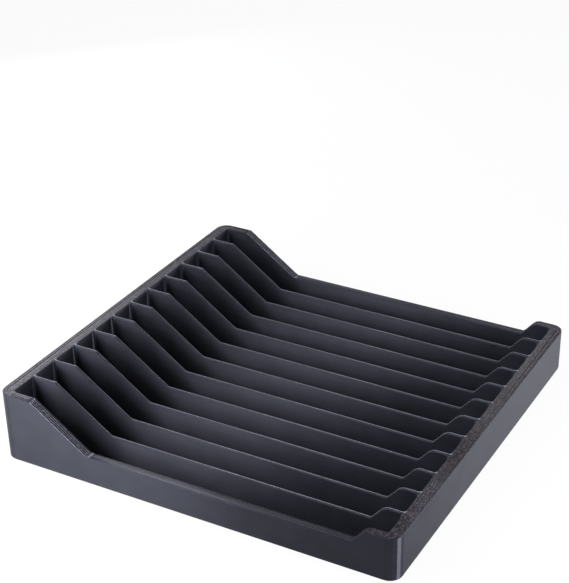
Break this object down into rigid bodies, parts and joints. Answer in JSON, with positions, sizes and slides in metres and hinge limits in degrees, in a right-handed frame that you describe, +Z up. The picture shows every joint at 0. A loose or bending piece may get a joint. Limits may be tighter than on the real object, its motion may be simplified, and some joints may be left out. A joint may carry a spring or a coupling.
{
  "type": "slotted desk rack",
  "caption": "Shallow square rack with a raised end, a dipped middle and thin upright dividers that form narrow slots for flat cases standing on edge.",
  "frame": {"origin": "centre of the underside, on the surface that the rack stands on", "axes": "+X along the slots from the tall end to the low end, +Y from front to back across the dividers, +Z up"},
  "size_m": [0.1552, 0.1518, 0.0268],
  "materials": {
    "shell": "printed plastic, satin, with fine layer lines",
    "divider": "printed plastic, satin, with fine layer lines"
  },
  "bodies": {
    "root": {"tray": "shell", "divider_01": "divider", "divider_02": "divider", "divider_03": "divider", "divider_04": "divider", "divider_05": "divider", "divider_06": "divider", "divider_07": "divider", "divider_08": "divider", "divider_09": "divider", "divider_10": "divider", "divider_11": "divider"}
  },
  "joints": []
}
